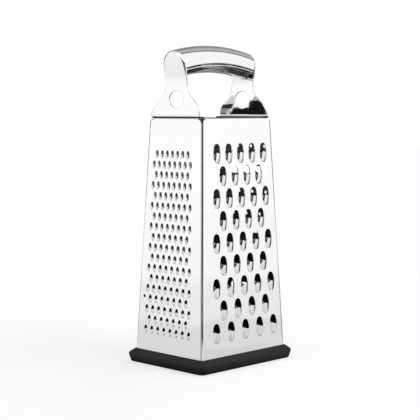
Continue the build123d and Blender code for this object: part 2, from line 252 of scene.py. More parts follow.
# %% [markdown]
# The teeth stand in staggered rows: every second row is shifted by half a pitch, and has one tooth
# more or fewer. The rows spread with the taper, because the gap from the last tooth to the edge
# stays nearly the same all the way down.

# %% Where the teeth stand
PATTERN_SHIFT = 2.1


def staggered_rows(face, rows, first, other, margins, ends):
    """Places of a staggered pattern, row by row from the top.

    margins are the distances of the first row from the rim and of the last from the foot, and ends
    how far the outer teeth of a full row stay from the side's edge, at the rim and at the foot.
    """
    slope, foot_width, head_width = face
    top_margin, bottom_margin = margins
    most = max(first, other)
    places = []
    for row in range(rows):
        y = slope - top_margin - row * (slope - top_margin - bottom_margin) / (rows - 1)
        share = y / slope
        width = lerp(foot_width, head_width, share)
        pitch = (width - 2 * lerp(ends[1], ends[0], share)) / (most - 1)
        count = other if row % 2 else first
        places.append([((i - (count - 1) / 2) * pitch, y) for i in range(count)])
    return places


def flat(rows, shift=0.0):
    """All the places of a pattern in one list, moved across the side."""
    return [(x + shift, y) for row in rows for x, y in row]


WIDE_FACE = (SLOPE_WIDE, BASE_WIDTH, TOP_WIDTH)
NARROW_FACE = (SLOPE_NARROW, BASE_DEPTH, TOP_DEPTH)
coarse_rows = staggered_rows(WIDE_FACE, rows=9, first=5, other=4, margins=(29.3, 20.6), ends=(15.1, 15.1))
fine_rows = staggered_rows(NARROW_FACE, rows=18, first=7, other=8, margins=(30.6, 18.5), ends=(11.4, 14.1))
zest_rows = staggered_rows(WIDE_FACE, rows=18, first=10, other=9, margins=(30.0, 22.0), ends=(13.0, 13.0))
print("coarse", len(flat(coarse_rows)), "fine", len(flat(fine_rows)), "zest", len(flat(zest_rows)))

# %% [markdown]
# A side starts as an outline and its cells, all lying flat. Blender's triangle fill closes the sheet
# between them. A narrow margin runs along the bent edges, so the flat part keeps flat normals and
# the bend alone carries the turn of the light.

# %% Build a flat side with its cells
HOLD = 0.35


def cell_mesh(rings):
    """A small mesh of one cell, and which of its edges are the outer ring."""
    bm = bmesh.new()
    outer = grow_rings(bm, rings)[-1]
    bm.edges.index_update()
    last = [edge.index for edge in outer]
    mesh = bpy.data.meshes.new("cell")
    bm.to_mesh(mesh)
    bm.free()
    return mesh, last


def punched_web(outline, cells):
    """A flat sheet inside an outline, with every cell let into it."""
    bm = bmesh.new()
    bm.verts.layers.int.new("spoke")
    loops = []
    for rings, places in cells:
        mesh, last = cell_mesh(rings)
        for x, y in places:
            verts_before, edges_before = len(bm.verts), len(bm.edges)
            bm.from_mesh(mesh)
            bm.verts.ensure_lookup_table()
            bm.edges.ensure_lookup_table()
            bmesh.ops.translate(bm, vec=(x, y, 0.0), verts=bm.verts[verts_before:])
            loops += [bm.edges[edges_before + index] for index in last]
        bpy.data.meshes.remove(mesh)
    corners = [bm.verts.new((x, y, 0.0)) for x, y in outline]
    loops += [bm.edges.new(pair) for pair in zip(corners, corners[1:] + corners[:1])]
    bmesh.ops.triangle_fill(bm, use_beauty=True, use_dissolve=False, edges=loops, normal=(0, 0, 1))
    return bm


def side_matrix(across, outwards, origin):
    """The place of a side: its own X runs across, its own Y up the slope, its own Z outwards."""
    up = outwards.cross(across)
    return Matrix((
        (across.x, up.x, outwards.x, origin.x),
        (across.y, up.y, outwards.y, origin.y),
        (across.z, up.z, outwards.z, origin.z),
        (0, 0, 0, 1),
    ))


def wide_matrix(side):
    """Side -1 faces -Y and side 1 faces +Y."""
    outwards = Vector((0, side * math.cos(LEAN_WIDE), math.sin(LEAN_WIDE)))
    foot = Vector((0, side * half_depth(RING_HEIGHT), RING_HEIGHT))
    return side_matrix(Vector((-side, 0, 0)), outwards, foot)


def narrow_matrix(side):
    """Side -1 faces -X and side 1 faces +X."""
    outwards = Vector((side * math.cos(LEAN_NARROW), 0, math.sin(LEAN_NARROW)))
    foot = Vector((side * half_width(RING_HEIGHT), 0, RING_HEIGHT))
    return side_matrix(Vector((0, side, 0)), outwards, foot)


# %% [markdown]
# A press brake folds the edges of each side. Here a fold is one edge of the flat sheet, extruded in
# small steps along the arc of the bend. The rims are folded inwards, so that no raw edge faces the
# hand, and both kinds of side share the rim's arc.

# %% Fold an edge
BEND_STEPS = 6
SAME_PLACE = 0.02


def edge_between(bm, a, b):
    """The boundary edge whose two ends are at these places."""
    for edge in bm.edges:
        if edge.is_boundary:
            first, last = (v.co for v in edge.verts)
            straight, crossed = (first - a).length + (last - b).length, (first - b).length + (last - a).length
            if min(straight, crossed) < SAME_PLACE:
                return edge
    raise ValueError("no such edge")


def fold(bm, pairs):
    """Extrude the edge at the first pair of places through the other pairs."""
    ends = [Vector(point) for point in pairs[0]]
    edge = edge_between(bm, *ends)
    for pair in pairs[1:]:
        grown = bmesh.ops.extrude_edge_only(bm, edges=[edge])["geom"]
        fresh = [part for part in grown if isinstance(part, bmesh.types.BMVert)]
        targets = [Vector(point) for point in pair]
        nearer = 0 if (fresh[0].co - ends[0]).length < (fresh[0].co - ends[1]).length else 1
        fresh[0].co = targets[nearer]
        fresh[1].co = targets[1 - nearer]
        ends = targets
        edge = bm.edges.get(fresh)


def corner_drop(x, start):
    """How far the rounded top corner has fallen at a distance from the middle."""
    past = min(max(x - start, 0.0), TOP_CORNER)
    return TOP_CORNER - math.sqrt(TOP_CORNER**2 - past**2)


def rim_arc(out, start, lean, width):
    """Distances from the middle and heights along a rim's fold, from where its bend starts."""
    arc = []
    for step in range(BEND_STEPS + 1):
        turn = (math.pi / 2 + lean) * step / BEND_STEPS
        inset = RIM_BEND * (math.cos(lean) - math.cos(turn - lean))
        arc.append((out - inset, start + RIM_BEND * (math.sin(lean) + math.sin(turn - lean))))
    end, height = arc[-1]
    return arc + [(end - HOLD, height), (end - (width - RIM_BEND), height)]


# %% [markdown]
# A wide side is folded round two corners of the body and tucked behind the narrow sides, where it is
# spot welded. Each narrow side stands a little nearer to one corner, so at the other the bend
# behind it shows as a thin line.

# %% Wide and narrow sides


def wide_side(side, cells, name):
    """A wide side with its cells, its two folded flanges and its folded rim."""
    low = (PANEL_LOW - RING_HEIGHT) / math.cos(LEAN_WIDE)
    top = SLOPE_WIDE - RIM_BEND
    reach_low = half_width(PANEL_LOW) - SHEET - CORNER_BEND - HOLD
    reach_top = half_width(RIM) - SHEET - CORNER_BEND - HOLD
    hem = half_width(RIM) - SHEET - TOP_CORNER
    outline = [(-reach_low, low), (reach_low, low), (reach_top, top), (hem, top)]
    outline += [(-hem, top), (-reach_top, top)]
    bm = punched_web(outline, cells)
    place = wide_matrix(side)
    bmesh.ops.transform(bm, matrix=place, verts=bm.verts[:])
    web_top = (place @ Vector((0, top, 0))).z
    for end in (-1, 1):
        local = -side * end
        pairs = [(place @ Vector((local * reach_low, low, 0)), place @ Vector((local * reach_top, top, 0)))]
        for step in range(BEND_STEPS + 1):
            turn = math.pi / 2 * step / BEND_STEPS
            edge_x = half_width(RIM) - SHEET - CORNER_BEND * (1 - math.sin(turn))
            heights = (PANEL_LOW, min(web_top, RIM - RIM_BEND - corner_drop(edge_x, hem)))
            pair = []
            for z in heights:
                x = half_width(z) - SHEET - CORNER_BEND * (1 - math.sin(turn))
                y = half_depth(z) - CORNER_BEND * (1 - math.cos(turn))
                pair.append((end * x, side * y, z))
            pairs.append(pair)
        for inset in (HOLD, SEAM_FLANGE - CORNER_BEND):
            pair = []
            for z in (PANEL_LOW, RIM - FLANGE_RELIEF):
                pair.append((end * (half_width(z) - SHEET), side * (half_depth(z) - CORNER_BEND - inset), z))
            pairs.append(pair)
        fold(bm, pairs)
    arc = rim_arc(half_depth(web_top), web_top, LEAN_WIDE, HEM_WIDTH)
    fold(bm, [[(end * hem, side * y, z) for end in (1, -1)] for y, z in arc])
    return finished(bm, name, Vector((0, side, 0)), SHEET)


def narrow_side(side, cells, name):
    """A narrow side with its cells and the broad fold at its rim that carries a bracket's foot."""
    low = (PANEL_LOW - RING_HEIGHT) / math.cos(LEAN_NARROW)
    top = SLOPE_NARROW - RIM_BEND
    reach_low = half_depth(PANEL_LOW) - CORNER_BEND
    reach_top = half_depth(RIM) - CORNER_BEND
    shelf = reach_top - TOP_CORNER
    turns = [math.pi / 2 * step / BEND_STEPS for step in range(BEND_STEPS + 1)]
    corner = [(shelf + TOP_CORNER * math.sin(a), top - TOP_CORNER * (1 - math.cos(a))) for a in turns]
    outline = [(SEAM_SHOW - reach_low, low), (reach_low, low)]
    outline += corner[::-1] + [(SEAM_SHOW - x, y) for x, y in corner]
    ends = (side * shelf, side * (SEAM_SHOW - shelf))
    bm = punched_web(outline, cells)
    place = narrow_matrix(side)
    bmesh.ops.transform(bm, matrix=place, verts=bm.verts[:])
    web_top = (place @ Vector((0, top, 0))).z
    arc = rim_arc(half_width(web_top), web_top, LEAN_NARROW, RIM_FLANGE)
    fold(bm, [[(side * x, end, z) for end in ends] for x, z in arc])
    return finished(bm, name, Vector((side, 0, 0)), SHEET)


# %% [markdown]
# The coarse side has 41 large teeth and the fine side 135 small ones, with one plain pilot hole at
# the end of a row. The cells' rings are denser on the coarse teeth, which the eye can read one by one.

# %% Coarse and fine sides
PILOT_RADIUS, PILOT_SPOKES = 1.4, 16
PILOT_ROW = 14
HOLE_LAND = 1.4
coarse_cell = tooth_cell(COARSE_TOOTH, COARSE_SPOKES, COARSE_SHARES)
fine_cell = tooth_cell(FINE_TOOTH, FINE_SPOKES, FINE_SHARES)
coarse_side = wide_side(-1, [(coarse_cell, flat(coarse_rows, PATTERN_SHIFT))], "coarse_side")
first, second = fine_rows[PILOT_ROW][:2]
pilot_place = (2 * first[0] - second[0] - PATTERN_SHIFT, first[1] + PILOT_RADIUS)


def round_ring(radius, around):
    """Flat points round a circle."""
    turns = [2 * math.pi * step / around for step in range(around)]
    return [(radius * math.cos(a), radius * math.sin(a), 0.0) for a in turns]


def round_cell(radius, around):
    """A plain round hole with a ring of flat steel round it."""
    return [round_ring(radius, around), round_ring(HOLE_LAND * radius, around)]


fine_side = narrow_side(-1, [
    (fine_cell, flat(fine_rows, -PATTERN_SHIFT)),
    (round_cell(PILOT_RADIUS, PILOT_SPOKES), [pilot_place]),
], "fine_side")

# %% [markdown]
# The zester's points are made by a nail-shaped punch that tears the sheet: the steel stands up
# round the hole in four sharp petals. One petal is a peak of the lip's height, so the ring of
# vertices at the lip rises and falls four times. It is drawn with few faces, as it is repeated often.

# %% Zester side
ZEST = dict(hole=0.8, petal=0.28, rise=1.05, tip=0.3, fall=1.6, foot=2.0, edge=2.35, petals=4)
ZEST_SPOKES = 16
ZEST_SHARES = (0, 0.25, 0.55, 0.8, 1)


def zest_cell():
    """One torn point: a jagged lip, a steep collar and flat steel."""
    rings = []
    for share in ZEST_SHARES:
        ring = []
        for step in range(ZEST_SPOKES):
            turn = 2 * math.pi * step / ZEST_SPOKES
            wave = math.cos(ZEST["petals"] * turn)
            lip = ZEST["hole"] - ZEST["petal"] * wave
            radius = lerp(lip, ZEST["foot"], share)
            height = (ZEST["rise"] + ZEST["tip"] * wave) * (1 - share) ** ZEST["fall"]
            ring.append((radius * math.cos(turn), radius * math.sin(turn), height))
        rings.append(ring)
    return rings + [round_ring(ZEST["edge"], ZEST_SPOKES)]


zester_side = wide_side(1, [(zest_cell(), flat(zest_rows))], "zester_side")

# %% [markdown]
# The slicing side has three long slots. Under each the steel is pressed out into a low ramp whose
# upper edge is the blade, and small round holes between the slots let the juice through. The slot's
# cell is the tooth's idea drawn wide: rings round a long opening, lifted only under its lower edge.

# %% Slicing side
SLOT = dict(half_length=22.0, height=7.2, blade_half=19.0, ramp=9.0, rise=1.8, shoulder=2.6)
SLOT_LAND = dict(side=25.0, above=9.2, below=10.4)
SLOT_TOP, SLOT_BOTTOM = 50.0, 44.0
BLADE_LIP, BLADE_FOOT = 0.8, 0.3
DRAIN_RADIUS, DRAIN_PITCH, DRAIN_SPOKES = 1.4, 16.0, 20
DRAIN_RISE, DRAIN_NEAR, DRAIN_FAR = 25.0, 15.5, 35.5


def soft_rise(height, blend):
    """The height where it is positive, with a smooth foot instead of a crease."""
    if height <= -blend:
        return 0.0
    if height >= blend:
        return height
    return (height + blend) ** 2 / (4 * blend)


def ramp_height(x, y):
    """How far the steel stands out near a slot whose blade is on y = 0."""
    slope = SLOT["rise"] * (1 + min(y, 0.0) / SLOT["ramp"])
    inside = min(1.0, max(0.0, (SLOT["blade_half"] + SLOT["shoulder"] / 2 - abs(x)) / SLOT["shoulder"]))
    fade = max(0.0, 1 - max(y, 0.0) / BLADE_LIP)
    return soft_rise(slope, BLADE_FOOT) * inside**2 * (3 - 2 * inside) * fade**2


def slot_cell(per_side=20, per_end=10, rings_out=10):
    """Rings from a long slot with round ends out to flat steel."""
    radius = SLOT["height"] / 2
    straight = SLOT["half_length"] - radius
    lip = []
    for way, y in ((1, 0.0), (-1, SLOT["height"])):
        lip += [(way * lerp(-straight, straight, step / per_side), y) for step in range(per_side)]
        for step in range(per_end):
            turn = -way * math.pi / 2 + math.pi * step / per_end
            lip.append((way * straight + radius * math.cos(turn), radius + radius * math.sin(turn)))
    rings = []
    for ring_index in range(rings_out + 1):
        share = ring_index / rings_out
        ring = []
        for x, y in lip:
            out_x = x * SLOT_LAND["side"] / SLOT["half_length"]
            out_y = lerp(-SLOT_LAND["below"], SLOT_LAND["above"], y / SLOT["height"])
            px, py = lerp(x, out_x, share), lerp(y, out_y, share)
            ring.append((px, py, 0.0 if ring_index >= rings_out - 1 else ramp_height(px, py)))
        rings.append(ring)
    return rings


slot_edges = [lerp(SLOPE_NARROW - SLOT_TOP, SLOT_BOTTOM, i / 2) for i in range(3)]
drain_rows = [(slot_edges[0] + DRAIN_RISE, 4)]
for edge in slot_edges[:-1]:
    drain_rows += [(edge - DRAIN_NEAR, 4), (edge - DRAIN_FAR, 3)]
drain_rows.append((slot_edges[-1] - DRAIN_NEAR, 4))
drain_places = [((i - (count - 1) / 2) * DRAIN_PITCH, y) for y, count in drain_rows for i in range(count)]
slicer_side = narrow_side(1, [
    (slot_cell(), [(0.0, edge) for edge in slot_edges]),
    (round_cell(DRAIN_RADIUS, DRAIN_SPOKES), drain_places),
], "slicer_side")
print("slots", len(slot_edges), "drain holes", len(drain_places))

# %% [markdown]
# The grip is an arched tube of two pressed shells. Its cross-section is a tall half oval above and a
# flatter one below, and a seam runs along it a little under the widest line. A closed outline of
# each shell's wall, spun about the arch's centre, gives the curved shell in one operation.

# %% Grip shells
GRIP_TOP = 61.8
GRIP_HALF_WIDTH, GRIP_RISE, GRIP_DROP = 13.2, 13.4, 9.6
GRIP_WALL = 0.8
GRIP_SEAM = 2.5
SEAM_ROUND = 0.35
SEAM_GAP = 0.07
CROWN_RADIUS = 195.0
END_REACH = 46.2
ARCH_RADIUS = CROWN_RADIUS - GRIP_RISE
ARCH_CENTRE = RIM + GRIP_TOP - CROWN_RADIUS
ARCH_ANGLE = math.asin(END_REACH / CROWN_RADIUS)
CAP_DEPTH = 2.3
HEAD_OUT = 0.9
SPIN_STEPS, CROWN_STEPS, BELLY_STEPS = 48, 56, 36


def section_point(turn, inset):
    """A place on the grip's cross-section: Y, and the height over its widest line."""
    tall = GRIP_RISE if math.sin(turn) >= 0 else GRIP_DROP
    return (GRIP_HALF_WIDTH - inset) * math.cos(turn), (tall - inset) * math.sin(turn)


def grip_shell(name, start, stop, steps):
    """Spin the closed outline of one shell's wall along the arch, its outer lips tucked in a little."""
    end_angle = ARCH_ANGLE + (HEAD_OUT - CAP_DEPTH) / ARCH_RADIUS
    outside = [section_point(lerp(start, stop, i / steps), 0.0) for i in range(steps + 1)]
    inside = [section_point(lerp(stop, start, i / steps), GRIP_WALL) for i in range(steps + 1)]
    bm = bmesh.new()
    loop = []
    for index, (y, rise) in enumerate(outside + inside):
        if index in (0, steps):
            y -= math.copysign(SEAM_ROUND, y)
        loop.append(bm.verts.new((0.0, y, ARCH_CENTRE + ARCH_RADIUS + rise)))
    edges = [bm.edges.new(pair) for pair in zip(loop, loop[1:] + loop[:1])]
    turn = Matrix.Rotation(-end_angle, 4, "Y")
    centre = Vector((0, 0, ARCH_CENTRE))
    bmesh.ops.rotate(bm, cent=centre, matrix=turn, verts=loop)
    bmesh.ops.spin(bm, geom=loop + edges, cent=centre, axis=(0, 1, 0), angle=2 * end_angle, steps=SPIN_STEPS,
                   use_merge=False)
    bmesh.ops.holes_fill(bm, edges=[edge for edge in bm.edges if edge.is_boundary], sides=0)
    return finished(bm, name)


SEAM_TURN = math.asin(GRIP_SEAM / GRIP_DROP)
BELLY_TURN = SEAM_TURN + SEAM_GAP
grip_crown = grip_shell("grip_crown", -SEAM_TURN, math.pi + SEAM_TURN, CROWN_STEPS)
grip_belly = grip_shell("grip_belly", -BELLY_TURN, BELLY_TURN - math.pi, BELLY_STEPS)

# %% [markdown]
# A bracket is one bent plate: a foot welded on the body's rim, an upright with an oval window, and a
# head that closes the grip's end. It is laid out flat here, as the maker's blank is, and a profile
# says where each distance along the blank ends up when it is bent. The outline is a list of corners,
# each with the radius of its arc.

# %% Bracket blank
PLATE = 1.2
HALF_GAP = 41.0
FOOT_DEPTH = 8.0
FOOT_CORNER = 2.5
FOOT_RADIUS = 2.7
LEAN_RADIUS = 36.0
EDGE_ROUND = 0.3
FOOT_SHOULDER, FOOT_SLOPE, FOOT_SIDE = 27.0, 31.4, 3.0
SLOPE_REACH, SLOPE_HEIGHT, SHOULDER_HEIGHT = 24.5, 12.8, 9.2
NECK_HALF_WIDTH, NECK_HEIGHT = 12.4, 22.4
SHOULDER_BEND, NECK_BEND = 11.0, 15.0
SLOPE_NECK_BEND, SLOPE_BEND, TIP_BEND = 14.0, 8.0, 1.5
WINDOW_WIDTH, WINDOW_HEIGHT, WINDOW_CENTRE = 17.6, 14.7, 15.8
WINDOW_STEPS, DOME_STEPS, CORNER_STEPS = 48, 28, 8
FOOT_STEPS, LEAN_STEPS, ROUND_STEPS = 8, 6, 4
LONGEST_EDGE = 3.0
FOOT_FLAT = FOOT_DEPTH - FOOT_RADIUS
FOOT_ARC = FOOT_RADIUS * math.pi / 2
LEAN_TANGENT = LEAN_RADIUS * math.tan(ARCH_ANGLE / 2)
LEAN_CORNER = (HALF_GAP - HEAD_OUT * math.cos(ARCH_ANGLE)) / math.sin(ARCH_ANGLE)
LEAN_RISE = ARCH_CENTRE + LEAN_CORNER * math.cos(ARCH_ANGLE) - HEAD_OUT * math.sin(ARCH_ANGLE) - RIM
LEAN_START = LEAN_RISE - LEAN_TANGENT
LEAN_ARC = LEAN_RADIUS * ARCH_ANGLE
HEAD_START = LEAN_CORNER + LEAN_TANGENT


def flat_from_height(height):
    """Distance along the blank, from the foot's end, of a height over the rim on the upright."""
    return FOOT_FLAT + FOOT_ARC + height - FOOT_RADIUS


def flat_from_radius(radius):
    """Distance along the blank of a radius from the arch's centre on the leaning head."""
    return flat_from_height(LEAN_START) + LEAN_ARC + radius - HEAD_START


def profile(s):
    """Where a distance along the blank lies on the bent plate's outside, and which way it faces."""
    if s <= FOOT_FLAT:
        return HALF_GAP - FOOT_DEPTH + s, RIM, -math.pi / 2
    s -= FOOT_FLAT
    if s <= FOOT_ARC:
        turn = s / FOOT_RADIUS
        x = HALF_GAP - FOOT_RADIUS + FOOT_RADIUS * math.sin(turn)
        return x, RIM + FOOT_RADIUS * (1 - math.cos(turn)), turn - math.pi / 2
    s -= FOOT_ARC
    rise = LEAN_START - FOOT_RADIUS
    if s <= rise:
        return HALF_GAP, RIM + FOOT_RADIUS + s, 0.0
    s -= rise
    if s <= LEAN_ARC:
        turn = s / LEAN_RADIUS
        x = HALF_GAP + LEAN_RADIUS * (1 - math.cos(turn))
        return x, RIM + LEAN_START + LEAN_RADIUS * math.sin(turn), -turn
    s -= LEAN_ARC
    radius = HEAD_START + s
    x = radius * math.sin(ARCH_ANGLE) + HEAD_OUT * math.cos(ARCH_ANGLE)
    return x, ARCH_CENTRE + radius * math.cos(ARCH_ANGLE) - HEAD_OUT * math.sin(ARCH_ANGLE), -ARCH_ANGLE


def rounded(corners, steps):
    """A closed path of corners (x, y, radius), with an arc in place of each corner that has a radius."""
    path = []
    for index, (x, y, radius) in enumerate(corners):
        here = Vector((x, y))
        if radius == 0:
            path.append(here)
            continue
        back = (Vector(corners[index - 1][:2]) - here).normalized()
        ahead = (Vector(corners[(index + 1) % len(corners)][:2]) - here).normalized()
        half = math.acos(max(-1, min(1, back.dot(ahead)))) / 2
        reach = radius / math.tan(half)
        centre = here + (back + ahead).normalized() * radius / math.sin(half)
        a, b = here + back * reach - centre, here + ahead * reach - centre
        path += [centre + a.lerp(b, step / steps).normalized() * radius for step in range(steps + 1)]
    return path


def bracket_outline():
    """The blank's outline: an upright shoulder, the head's half oval, and a sloping shoulder."""
    neck, head = flat_from_height(NECK_HEIGHT), flat_from_radius(ARCH_RADIUS)
    upright = [
        (FOOT_SHOULDER, 0.0, FOOT_CORNER),
        (FOOT_SHOULDER, flat_from_height(SHOULDER_HEIGHT), SHOULDER_BEND),
        (NECK_HALF_WIDTH, neck, NECK_BEND),
    ]
    turns = [math.pi * step / DOME_STEPS for step in range(DOME_STEPS + 1)]
    dome = [(GRIP_HALF_WIDTH * math.cos(a), head + GRIP_RISE * math.sin(a), 0) for a in turns]
    sloping = [
        (-NECK_HALF_WIDTH, neck, SLOPE_NECK_BEND),
        (-SLOPE_REACH, flat_from_height(SLOPE_HEIGHT), SLOPE_BEND),
        (-FOOT_SLOPE, flat_from_height(FOOT_SIDE), TIP_BEND),
        (-FOOT_SLOPE, 0.0, FOOT_CORNER),
    ]
    return rounded(upright + dome + sloping, CORNER_STEPS)


def inwards(outline):
    """For each point of a closed outline, the direction into the blank."""
    result = []
    count = len(outline)
    for index in range(count):
        along = (outline[(index + 1) % count] - outline[index - 1]).normalized()
        result.append(Vector((-along.y, along.x)))
    return result


def densified(outline, longest):
    """The outline with extra points on its long straight runs."""
    result = []
    for here, ahead in zip(outline, outline[1:] + outline[:1]):
        steps = max(1, math.ceil((ahead - here).length / longest))
        result += [here.lerp(ahead, step / steps) for step in range(steps)]
    return result


print("blank", round(flat_from_radius(ARCH_RADIUS) + GRIP_RISE, 1), "mm long")

# %% [markdown]
# The blank's edge is rounded ring by ring, and the window's in the same way. At the head the
# rounding grows into a cap that meets the tube, so the grip's end looks soft, as pressed steel does.
# The finished blank is cut across wherever a bend needs a row of vertices, and then each vertex
# moves to its place on the bent profile.

# %% Bracket edges, window and bends
CAP_FADE = 1.0
CUT_REACH = 0.0005


def edge_rings(reach):
    """Insets and depths of a quarter round along the blank's edge."""
    turns = [math.pi / 2 * step / ROUND_STEPS for step in range(ROUND_STEPS + 1)]
    return [(reach * (1 - math.sin(a)), reach * (1 - math.cos(a))) for a in turns]


PLAIN_RINGS = [(2 * EDGE_ROUND, 0.0), *edge_rings(EDGE_ROUND), (0.0, PLATE - EDGE_ROUND),
               (EDGE_ROUND / 3, PLATE - EDGE_ROUND / 3), (EDGE_ROUND, PLATE), (2 * EDGE_ROUND, PLATE)]
CAP_RINGS = [(CAP_DEPTH + EDGE_ROUND, 0.0), *edge_rings(CAP_DEPTH), (0.0, CAP_DEPTH),
             (GRIP_WALL, CAP_DEPTH), (CAP_DEPTH, PLATE), (CAP_DEPTH + EDGE_ROUND, PLATE)]


def cap_share(s):
    """How much of the head's cap a place has: none on the neck, all of it from the widest line up."""
    low, high = flat_from_radius(ARCH_RADIUS - GRIP_DROP + CAP_FADE), flat_from_radius(ARCH_RADIUS)
    share = min(1.0, max(0.0, (s - low) / (high - low)))
    return share * share * (3 - 2 * share)


def bracket(side, name):
    """Lay out the blank, round its edges, cut the window, and bend it; side -1 stands at -X."""
    outline = densified(bracket_outline(), LONGEST_EDGE)
    into = inwards(outline)
    rings = []
    for plain, cap in zip(PLAIN_RINGS, CAP_RINGS):
        ring = []
        for point, inward in zip(outline, into):
            share = cap_share(point.y)
            place = point + inward * lerp(plain[0], cap[0], share)
            ring.append((place.x, place.y, lerp(plain[1], cap[1], share)))
        rings.append(ring)
    bm = bmesh.new()
    loops = grow_rings(bm, rings)
    centre = flat_from_height(WINDOW_CENTRE)
    turns = [-2 * math.pi * step / WINDOW_STEPS for step in range(WINDOW_STEPS)]
    window_rings = []
    for inset, depth in PLAIN_RINGS:
        half_x, half_y = WINDOW_WIDTH / 2 + inset, WINDOW_HEIGHT / 2 + inset
        window_rings.append([(half_x * math.cos(a), centre + half_y * math.sin(a), depth) for a in turns])
    window = grow_rings(bm, window_rings)
    for which in (0, -1):
        bmesh.ops.triangle_fill(bm, use_beauty=True, use_dissolve=False, edges=loops[which] + window[which],
                                normal=(0, 0, 1))
    cuts = [FOOT_FLAT - HOLD, flat_from_height(FOOT_RADIUS) + HOLD, flat_from_height(LEAN_START) - HOLD]
    cuts += [FOOT_FLAT + FOOT_ARC * i / FOOT_STEPS for i in range(FOOT_STEPS + 1)]
    cuts += [flat_from_height(LEAN_START) + LEAN_ARC * i / LEAN_STEPS for i in range(LEAN_STEPS + 1)]
    cuts.append(flat_from_height(LEAN_START) + LEAN_ARC + HOLD)
    for s in cuts:
        everything = bm.verts[:] + bm.edges[:] + bm.faces[:]
        bmesh.ops.bisect_plane(bm, geom=everything, dist=CUT_REACH, plane_co=(0, s, 0), plane_no=(0, 1, 0))
    bmesh.ops.remove_doubles(bm, verts=bm.verts[:], dist=WELD)
    bmesh.ops.recalc_face_normals(bm, faces=bm.faces[:])
    for vertex in bm.verts:
        y, s, depth = vertex.co
        x, z, facing = profile(s)
        x -= depth * math.cos(facing)
        z -= depth * math.sin(facing)
        vertex.co = (side * x, side * y, z)
    return finished(bm, name)


left_plate = bracket(-1, "left_plate")
right_plate = bracket(1, "right_plate")

# %% [markdown]
# The foot is a moulded rubber ring: a bevelled top, a soft ridge, sides that slope in to a rounded
# lower edge, and a groove that takes the steel. Its outline is a rounded rectangle, grown ring by
# ring along the profile and closed on itself. A corner of the profile gives its reach outside the
# steel, its height and its radius.

# %% Rubber foot ring
RING_CORNER = 7.0
RIDGE_REACH, RIDGE_HEIGHT = 6.5, 7.5
FOOT_REACH = 4.0
TOP_LAND = 0.6
RING_GAP = 0.1
GROOVE = 2 * SHEET + RING_GAP
LIP = 2.5
SMALLEST_CORNER = 0.4


def ring_contour(reach, z):
    """A rounded rectangle at a distance outside the steel's lower edge."""
    corner = max(SMALLEST_CORNER, CORNER_BEND + (RING_CORNER - CORNER_BEND) * reach / RIDGE_REACH)
    half_x, half_y = BASE_WIDTH / 2 + reach, BASE_DEPTH / 2 + reach
    points = []
    for quarter, (sx, sy) in enumerate(((1, 1), (-1, 1), (-1, -1), (1, -1))):
        for step in range(CORNER_STEPS + 1):
            turn = math.pi / 2 * (quarter + step / CORNER_STEPS)
            points.append((
                sx * (half_x - corner) + corner * math.cos(turn),
                sy * (half_y - corner) + corner * math.sin(turn),
                z,
            ))
    return points


ring_corners = [
    (TOP_LAND, RING_HEIGHT, 0.35),
    (RIDGE_REACH, RIDGE_HEIGHT, 2.2),
    (FOOT_REACH, 0.0, 1.5),
    (-GROOVE - LIP, 0.0, 0.4),
    (-GROOVE - LIP, RING_HEIGHT, 0.4),
    (-GROOVE, RING_HEIGHT, 0.2),
    (-GROOVE, PANEL_LOW, 0),
    (RING_GAP, PANEL_LOW, 0),
    (RING_GAP, RING_HEIGHT, 0.15),
]
bm = bmesh.new()
ring_loops = grow_rings(bm, [ring_contour(reach, z) for reach, z in rounded(ring_corners, ROUND_STEPS)])
bmesh.ops.bridge_loops(bm, edges=ring_loops[0] + ring_loops[-1])
rubber_ring = finished(bm, "rubber_ring")

# %% [markdown]
# Materials start from the real thing. The four sides are cold-rolled stainless sheet, polished
# bright: a metal with almost no colour of its own, faint lines from the rolling mill that run up
# the sheet, and cloudy marks where it was wiped. The lines are too fine to show at this size, so
# they are drawn coarser than real. The inside keeps the dull finish of the mill, and a painted shade
# makes it darker towards the foot, where less light comes in from the open top. The brackets are
# thicker plate, ground flatter still, with a painted shadow along the gap where the foot stands on
# the rim. The grip is drawn tube, and its hollow belly has a satin finish. One function makes all
# five steels, because little but the polish and the lines' depth differs.

# %% Helpers for materials
LINE_APART, LINE_LENGTH, WIPE_CLOUD = 0.4, 16.667, 35.714


def to_linear(hex_colour):
    """A colour written as sRGB hex, turned into the linear values that a shader wants."""
    parts = [int(hex_colour[i:i + 2], 16) / 255 for i in (1, 3, 5)]
    linear = [p / 12.92 if p <= 0.04045 else ((p + 0.055) / 1.055) ** 2.4 for p in parts]
    return (*linear, 1.0)


WHITE = to_linear("#FFFFFF")
SMOOTH = {"interpolation_type": "SMOOTHSTEP"}
COLOURS = {"data_type": "RGBA"}


def add_node(tree, kind, settings=None, **inputs):
    """Add a node, set its options, and set or link its inputs: by name, or i0, i1 and so on by number.

    A node that is given for an input is linked by its first output.
    """
    node = tree.nodes.new("ShaderNode" + kind)
    for key, value in (settings or {}).items():
        setattr(node, key, value)
    for key, value in inputs.items():
        numbered = key[0] == "i" and key[1:].isdigit()
        socket = node.inputs[int(key[1:]) if numbered else key.replace("_", " ")]
        if isinstance(value, bpy.types.Node):
            value = value.outputs[0]
        if isinstance(value, bpy.types.NodeSocket):
            tree.links.new(value, socket)
        else:
            socket.default_value = value
    return node


def per(size):
    """The scale of a pattern whose grain has this size in millimetres."""
    return 1 / (size * MM)


def new_material(name):
    """An empty material with its output node."""
    material = bpy.data.materials.new(name)
    material.use_nodes = True
    tree = material.node_tree
    tree.nodes.clear()
    return material, tree, tree.nodes.new("ShaderNodeOutputMaterial")


